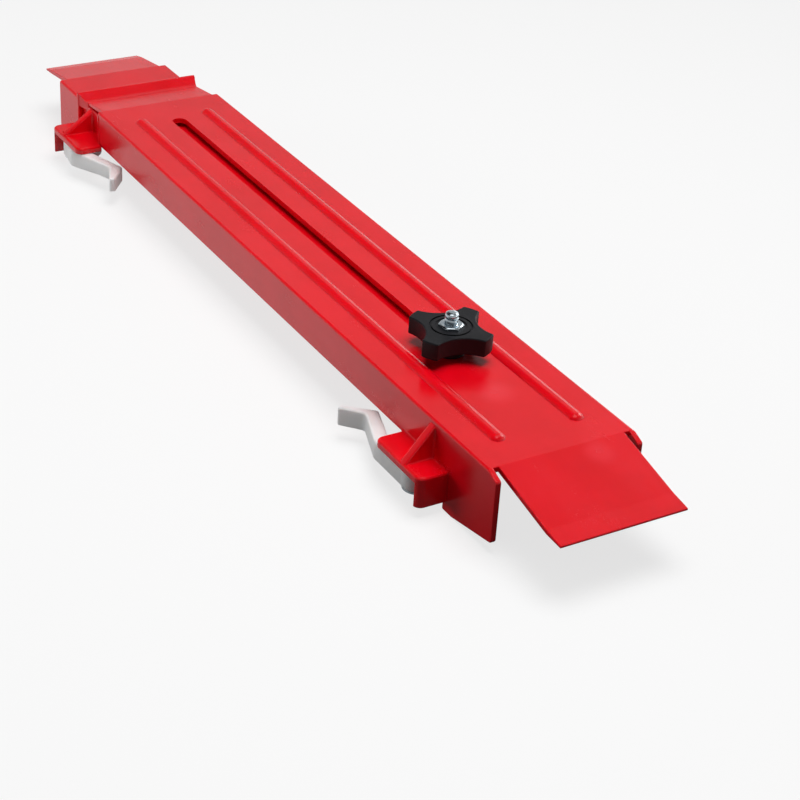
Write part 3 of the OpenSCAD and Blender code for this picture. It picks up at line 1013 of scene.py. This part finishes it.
def group(name, inputs, outputs):
    """An empty shader group; returns its tree, its inputs and a way to end it.

    Coordinates is the first input of every group; the others are given with their
    kind and usual value.
    """
    tree = bpy.data.node_groups.new(name, "ShaderNodeTree")
    tree.interface.new_socket(name="Coordinates", in_out="INPUT", socket_type=VECTOR)
    for label, kind, value in inputs:
        socket = tree.interface.new_socket(name=label, in_out="INPUT", socket_type=kind)
        socket.default_value = value
    for label in outputs:
        tree.interface.new_socket(name=label, in_out="OUTPUT", socket_type=FLOAT)
    given = tree.nodes.new("NodeGroupInput").outputs
    output = tree.nodes.new("NodeGroupOutput")

    def close(results):
        for label, result in results.items():
            tree.links.new(result, output.inputs[label])
        return tree

    return tree, given, close


def moulding_group():
    """Flow marks along the piece, cloudy tone and a fine satin grain."""
    tree, given, close = group(
        "moulded_surface",
        [
            ("Grain", FLOAT, 1.0),
            ("Flow", FLOAT, 1.0),
            ("Smooth", FLOAT, 0.25),
            ("Matt", FLOAT, 0.4),
        ],
        ["Tone", "Roughness", "Height"],
    )
    place = given["Coordinates"]
    cloud = noise(tree, place, EVEN, scale=38, detail=4)
    flow = noise(tree, place, (0.14, 1, 1), scale=150, detail=3)
    grain = noise(tree, place, EVEN, scale=2600, detail=2)
    patches = noise(tree, place, (0.5, 1, 1), scale=90, detail=5, roughness=0.65)
    streaks = times(tree, minus(tree, flow, 0.5), given["Flow"])
    uneven = plus(tree, times(tree, patches, 0.7), times(tree, grain, 0.3))
    spread = minus(tree, given["Matt"], given["Smooth"])
    share = span(tree, uneven, low=0.3, high=0.7)
    wave = times(tree, cloud, 6.0)
    ripple = times(tree, flow, times(tree, given["Flow"], 1.2))
    return close(
        {
            "Tone": plus(tree, span(tree, cloud, low=0.3, high=0.7), streaks),
            "Roughness": plus(tree, given["Smooth"], times(tree, share, spread)),
            "Height": plus(tree, times(tree, grain, given["Grain"]), wave, ripple),
        }
    )


def scratch_group():
    """Fine rub marks in three directions, turned about Z by an angle in radians."""
    tree, given, close = group("rub_marks", [("Amount", FLOAT, 0.5)], ["Marks"])
    sets = []
    for turn, stretch in ((0.12, (9, 900, 800)), (-0.5, (14, 1200, 1100)), (1.35, (12, 1000, 900))):
        turned = add(
            tree,
            "ShaderNodeVectorRotate",
            {"Vector": given["Coordinates"], "Angle": turn},
            rotation_type="Z_AXIS",
        )
        lines = noise(tree, turned.outputs[0], stretch, scale=1.0, detail=1.5)
        sets.append(span(tree, lines, low=0.665, high=0.72))
    patches = noise(tree, given["Coordinates"], EVEN, scale=28, detail=3)
    where = span(tree, patches, low=0.42, high=0.66)
    return close({"Marks": times(tree, most(tree, *sets), where, given["Amount"])})


def edge_group():
    """How far a point lies on a worn outer edge."""
    inputs = [("Width", FLOAT, 0.0006), ("Wear", FLOAT, 0.5)]
    tree, given, close = group("edge_wear", inputs, ["Edge"])
    bevel = add(tree, "ShaderNodeBevel", {"Radius": given["Width"]}, samples=4)
    surface = add(tree, "ShaderNodeNewGeometry")
    dot = add(
        tree,
        "ShaderNodeVectorMath",
        {0: bevel.outputs[0], 1: surface.outputs["Normal"]},
        operation="DOT_PRODUCT",
    )
    edge = span(tree, dot.outputs["Value"], low=0.995, high=0.86)
    patches = noise(tree, given["Coordinates"], EVEN, scale=420, detail=4)
    broken = span(tree, patches, low=0.4, high=0.62)
    return close({"Edge": times(tree, edge, broken, given["Wear"])})


def gate_group():
    """The small round mark that an injection point leaves, and a halo round it; where the halo
    tints the colour, its lighter tint is partly a painted reflection.
    """
    tree, given, close = group(
        "gate_mark_and_sheen",
        [("Centre", VECTOR, (0, 0, 0)), ("Radius", FLOAT, 0.002)],
        ["Ring", "Halo"],
    )
    reach = add(
        tree,
        "ShaderNodeVectorMath",
        {0: given["Coordinates"], 1: given["Centre"]},
        operation="DISTANCE",
    ).outputs["Value"]
    share = folded(tree, "DIVIDE", (reach, given["Radius"]))
    inside = span(tree, share, low=1.15, high=0.85)
    core = span(tree, share, low=0.9, high=0.6)
    halo = span(tree, share, low=5.5, high=0.8)
    return close({"Ring": minus(tree, inside, core), "Halo": halo})


def plating_group():
    """Uneven bright plating with drawn lines around the axis of a turned part."""
    inputs = [("Smooth", FLOAT, 0.15), ("Matt", FLOAT, 0.4)]
    tree, given, close = group("plated_steel", inputs, ["Tone", "Roughness", "Height"])
    place = given["Coordinates"]
    lines = noise(tree, place, (1, 1, 9), scale=900, detail=2)
    stain = noise(tree, place, EVEN, scale=520, detail=4, roughness=0.6)
    spread = minus(tree, given["Matt"], given["Smooth"])
    uneven = times(tree, span(tree, stain, low=0.3, high=0.7), spread)
    return close(
        {
            "Tone": span(tree, stain, low=0.35, high=0.65),
            "Roughness": plus(tree, given["Smooth"], uneven),
            "Height": lines,
        }
    )


GROUPS = {
    "moulding": moulding_group(),
    "scratch": scratch_group(),
    "edge": edge_group(),
    "gate": gate_group(),
    "plating": plating_group(),
}


def use(tree, name, place, **inputs):
    """One of the groups in a material; returns its outputs."""
    node = add(tree, "ShaderNodeGroup", node_tree=GROUPS[name])
    tree.links.new(place, node.inputs["Coordinates"])
    for key, value in inputs.items():
        node.inputs[key].default_value = value
    return node.outputs


def blend(tree, share, a, b):
    """A colour between a and b."""
    mixer = add(tree, "ShaderNodeMix", data_type="RGBA")
    for index, value in ((0, share), (6, a), (7, b)):
        if isinstance(value, bpy.types.NodeSocket):
            tree.links.new(value, mixer.inputs[index])
        else:
            mixer.inputs[index].default_value = (*value, 1)
    return mixer.outputs[2]


def begin(name):
    """A material with its shader and Object coordinates."""
    material = bpy.data.materials.new(name)
    material.use_nodes = True
    tree = material.node_tree
    place = add(tree, "ShaderNodeTexCoord").outputs["Object"]
    return material, tree, tree.nodes["Principled BSDF"].inputs, place


def bump(tree, height, distance, strength, shader):
    """Relief from a height, on the shader's normal."""
    inputs = {"Height": height, "Distance": distance, "Strength": strength}
    node = add(tree, "ShaderNodeBump", inputs)
    tree.links.new(node.outputs[0], shader["Normal"])


# ---------- materials ----------

# How far a gate mark turns the plastic to its worn colour, smooths it and raises it; the lighter
# tint of its halo is partly the mark's own tint and partly a painted reflection.
GATE_TINT_AND_SHEEN = 0.6
GATE_SMOOTH = 0.07
GATE_RAISE = 6.0
# How far rub marks and haze turn the plastic to its worn colour.
RUB_SHARE = 0.5
HAZE_SHARE = 0.12
# The height of the surface's relief, in metres.
PLASTIC_RELIEF = 0.00002
STEEL_RELIEF = 0.00001


def moulded(name, dark, light, worn_and_sheen, finish, marks, bump_strength, edge_width=0.0006, gates=()):
    """Coloured plastic; finish is (grain, flow, smooth, matt), marks (scratch, wear)."""
    material, tree, shader, place = begin(name)
    grain, flow, smooth, matt = finish
    scratch, wear = marks
    surface = use(tree, "moulding", place, Grain=grain, Flow=flow, Smooth=smooth, Matt=matt)
    rubs = use(tree, "scratch", place, Amount=scratch)["Marks"]
    edge = use(tree, "edge", place, Width=edge_width, Wear=wear)["Edge"]
    color = blend(tree, surface["Tone"], dark, light)
    height = surface["Height"]
    rough = surface["Roughness"]
    # The halo round each gate mark turns the colour towards the lighter worn colour: partly the
    # mark's own tint, partly a painted reflection.
    for centre, radius in gates:
        mark = use(tree, "gate", place, Centre=centre, Radius=radius)
        color = blend(tree, times(tree, mark["Halo"], GATE_TINT_AND_SHEEN), color, worn_and_sheen)
        rough = minus(tree, rough, times(tree, mark["Halo"], GATE_SMOOTH))
        height = plus(tree, height, times(tree, mark["Ring"], GATE_RAISE))
    clouds = noise(tree, place, (0.5, 1, 1), scale=55, detail=3, roughness=0.5)
    haze = span(tree, clouds, low=0.5, high=0.75, to_high=HAZE_SHARE)
    rubbed = plus(tree, times(tree, rubs, RUB_SHARE), most(tree, edge, haze), clamp=True)
    color = blend(tree, rubbed, color, worn_and_sheen)
    tree.links.new(color, shader["Base Color"])
    tree.links.new(rough, shader["Roughness"])
    bump(tree, height, PLASTIC_RELIEF, bump_strength, shader)
    return material


def plated(name, dark, light):
    """Zinc-plated steel between a dark and a light tone."""
    material, tree, shader, place = begin(name)
    surface = use(tree, "plating", place, Smooth=0.12, Matt=0.26)
    tree.links.new(blend(tree, surface["Tone"], dark, light), shader["Base Color"])
    tree.links.new(surface["Roughness"], shader["Roughness"])
    shader["Metallic"].default_value = 1.0
    bump(tree, surface["Height"], STEEL_RELIEF, 0.5, shader)
    return material


red = moulded(
    "red_plastic",
    dark=(0.71, 0.001, 0.007),
    light=(0.78, 0.0015, 0.010),
    # The worn colour, for rub marks and worn edges, also paints the lighter halo round the gate
    # marks, which is partly a painted reflection.
    worn_and_sheen=(0.84, 0.03, 0.045),
    finish=(0.12, 0.5, 0.19, 0.28),
    marks=(0.08, 0.3),
    bump_strength=0.35,
    # Gate marks; their lighter halo is partly a painted reflection.
    gates=(((-0.0405, -0.0005, 0.0093), 0.0018), ((0.0048, 0.0113, 0.0081), 0.0014)),
)
white = moulded(
    "white_plastic",
    dark=(0.84, 0.845, 0.84),
    light=(0.88, 0.90, 0.905),
    worn_and_sheen=(0.66, 0.62, 0.58),
    finish=(1.0, 0.5, 0.32, 0.46),
    marks=(0.3, 0.22),
    bump_strength=0.3,
)
black = moulded(
    "black_plastic",
    dark=(0.004, 0.004, 0.005),
    light=(0.009, 0.009, 0.011),
    worn_and_sheen=(0.030, 0.030, 0.033),
    finish=(2.6, 0.3, 0.38, 0.52),
    marks=(0.4, 0.55),
    bump_strength=0.5,
    edge_width=0.0004,
)
zinc = plated("zinc_plated_steel", dark=(0.57, 0.65, 0.71), light=(0.77, 0.85, 0.90))

# Values that are the same all over a piece, set on its shader itself. The red and
# the white plastic let a little light in; the black one is less glossy.
for plastic, constants in (
    (
        red,
        {
            "Subsurface Weight": 0.35,
            "Subsurface Radius": (1.0, 0.05, 0.05),
            "Subsurface Scale": 0.002,
        },
    ),
    (
        white,
        {
            "Subsurface Weight": 0.6,
            "Subsurface Radius": (1.0, 0.95, 0.9),
            "Subsurface Scale": 0.004,
        },
    ),
    (black, {"Specular IOR Level": 0.22}),
):
    for label, constant in constants.items():
        plastic.node_tree.nodes["Principled BSDF"].inputs[label].default_value = constant


# ---------- pieces ----------

built = (
    (make_front_cover(), "front_cover_shell", "front_cover", "cover", red, "red_plastic"),
    (make_rear_slider(), "rear_slider_shell", "rear_slider", "slider", red, "red_plastic"),
    (
        make_lever(PIVOTS["front_lever_pivot"], **FRONT_LEVER),
        "front_lever_body",
        "front_lever",
        "front_lever",
        white,
        "white_plastic",
    ),
    (
        make_lever(PIVOTS["rear_lever_pivot"], **REAR_LEVER),
        "rear_lever_body",
        "rear_lever",
        "rear_lever",
        white,
        "white_plastic",
    ),
    (make_knob(), "clamp_knob_body", "clamp_knob", "knob", black, "black_plastic"),
    (make_nut(), "knob_nut_body", "knob_nut", "knob", zinc, "zinc_steel"),
    (make_bolt(zinc), "clamp_bolt_body", "clamp_bolt", "slider", zinc, "zinc_steel"),
)
for piece, name, node, body, material, slot in built:
    piece.name = piece.data.name = name
    piece.data.materials.clear()
    piece.data.materials.append(material)
    if material is not zinc:
        shaded(piece)
    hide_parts(node)
    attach(piece, body)

for end in ("front_lever", "rear_lever"):
    for kind in ("washer", "screw"):
        mesh = frame["nodes"][f"{end}_{kind}"].data
        mesh.materials.clear()
        mesh.materials.append(zinc)


# ---------- stage, in metres ----------

FLOOR_HALF = 6
# The floor's own tone, and how much of its look doesn't depend on the lamps.
FLOOR_TONE = 0.8
FLOOR_GLOW = 0.74
# What the floor throws back onto the object, and what reflections see of it. Both
# drop along X between two places, so that the walls at the front show less of it.
REAR_BOUNCE, BOUNCE_DROP = 0.45, 0.4
REAR_SHINE, SHINE_DROP = 0.6, 0.56
DROP_LOW, DROP_HIGH = -0.13, 0.0
ROOM_FILL = 0.15


def background_rays(tree):
    """Light Path's outputs, and 1 for what the camera sees, straight or through glass."""
    rays = tree.nodes.new("ShaderNodeLightPath").outputs
    return rays, plus(tree, rays["Is Camera Ray"], rays["Is Transmission Ray"], clamp=True)


def make_floor():
    """A floor that looks pale, keeps the shadows and lights the object little."""
    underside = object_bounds()[0].z
    bm = bmesh.new()
    bmesh.ops.create_grid(bm, x_segments=1, y_segments=1, size=FLOOR_HALF)
    floor = new_object("floor", bm)
    floor.location = (0, 0, underside)
    material = bpy.data.materials.new("pale_floor")
    material.use_nodes = True
    tree = material.node_tree
    tree.nodes.clear()
    rays, seen = background_rays(tree)
    place = add(tree, "ShaderNodeTexCoord").outputs["Object"]
    x = add(tree, "ShaderNodeSeparateXYZ", {0: place}).outputs["X"]
    ahead = span(tree, x, DROP_LOW, DROP_HIGH)
    bounce = minus(tree, REAR_BOUNCE, times(tree, ahead, BOUNCE_DROP))
    tone = most(tree, times(tree, seen, FLOOR_TONE), bounce)
    shine = minus(tree, REAR_SHINE, times(tree, ahead, SHINE_DROP))
    mirrored = times(tree, rays["Is Glossy Ray"], shine)
    share = plus(tree, times(tree, seen, FLOOR_GLOW), mirrored, clamp=True)
    diffuse = add(tree, "ShaderNodeBsdfDiffuse", {"Color": tone})
    plain = add(tree, "ShaderNodeEmission")
    inputs = {0: share, 1: diffuse.outputs[0], 2: plain.outputs[0]}
    mix = add(tree, "ShaderNodeMixShader", inputs)
    add(tree, "ShaderNodeOutputMaterial", {0: mix.outputs[0]})
    floor.data.materials.append(material)


def make_world():
    """A white backdrop and a dim fill.

    Reflections see a bright horizon, a broad panel and a low strip on the +Y side,
    and a lamp overhead.
    """
    world = bpy.data.worlds.new("studio")
    bpy.context.scene.world = world
    world.use_nodes = True
    tree = world.node_tree
    back = tree.nodes["Background"]
    back.inputs["Color"].default_value = (1, 1, 1, 1)
    rays, seen = background_rays(tree)
    way = add(tree, "ShaderNodeTexCoord").outputs["Generated"]
    parts = add(tree, "ShaderNodeSeparateXYZ", {0: way}).outputs
    y, z = parts["Y"], parts["Z"]
    horizon = minus(tree, 0.62, times(tree, z, 0.9), clamp=True)
    panel = times(
        tree,
        span(tree, y, low=0.1, high=0.4, to_low=0.02, to_high=0.44),
        span(tree, z, low=0.74, high=0.88, to_low=1.0, to_high=0.35),
    )
    strip = times(
        tree,
        span(tree, y, low=0.52, high=0.66, to_high=1.4),
        span(tree, z, low=0.3, high=0.42, to_low=1.0, to_high=0.0),
    )
    overhead = span(tree, z, low=0.93, high=0.98, to_high=1.5)
    sheen = most(tree, horizon, panel, strip, overhead)
    fill = plus(tree, times(tree, seen, 1 - ROOM_FILL), ROOM_FILL)
    mirrored = times(tree, rays["Is Glossy Ray"], minus(tree, sheen, ROOM_FILL))
    tree.links.new(plus(tree, fill, mirrored), back.inputs["Strength"])


def area_light(name, place, aim, size, power):
    """A soft rectangular lamp that looks at a point."""
    light = bpy.data.lights.new(name, "AREA")
    light.shape = "RECTANGLE"
    light.size, light.size_y = size
    light.energy = power
    obj = bpy.data.objects.new(name, light)
    bpy.context.scene.collection.objects.link(obj)
    obj.location = place
    obj.rotation_euler = (Vector(aim) - Vector(place)).to_track_quat("-Z", "Y").to_euler()
    return obj


def make_camera():
    """The camera, ahead of the front end, above it and on the levers' side."""
    place = Vector((0.43119, -0.33528, 0.34434))
    aim = Vector((-0.04753, -0.02916, 0.0093))
    roll = math.radians(4.0166)
    data = bpy.data.cameras.new("camera")
    data.lens = 88.44
    data.sensor_width = 36
    data.shift_x = -0.014
    camera = bpy.data.objects.new("camera", data)
    bpy.context.scene.collection.objects.link(camera)
    turn = (aim - place).to_track_quat("-Z", "Y").to_matrix() @ Matrix.Rotation(roll, 3, "Z")
    camera.matrix_world = Matrix.Translation(place) @ turn.to_4x4()
    bpy.context.scene.camera = camera


make_floor()
make_world()
middle = (-0.17, 0, 0)
key = area_light("key_light", (-0.05, 0.07, 0.92), middle, size=(0.6, 0.6), power=8.6)
key.visible_glossy = False
sparkle = area_light("sparkle_light", (-0.36, 1.0, 0.62), middle, size=(0.35, 0.35), power=2.2)
sparkle.visible_diffuse = False
side_fill = area_light("fill_light", (-1.2, -1.1, 0.22), middle, size=(0.9, 0.4), power=7.8)
side_fill.visible_glossy = False
make_camera()
bpy.context.scene.view_settings.view_transform = "Standard"
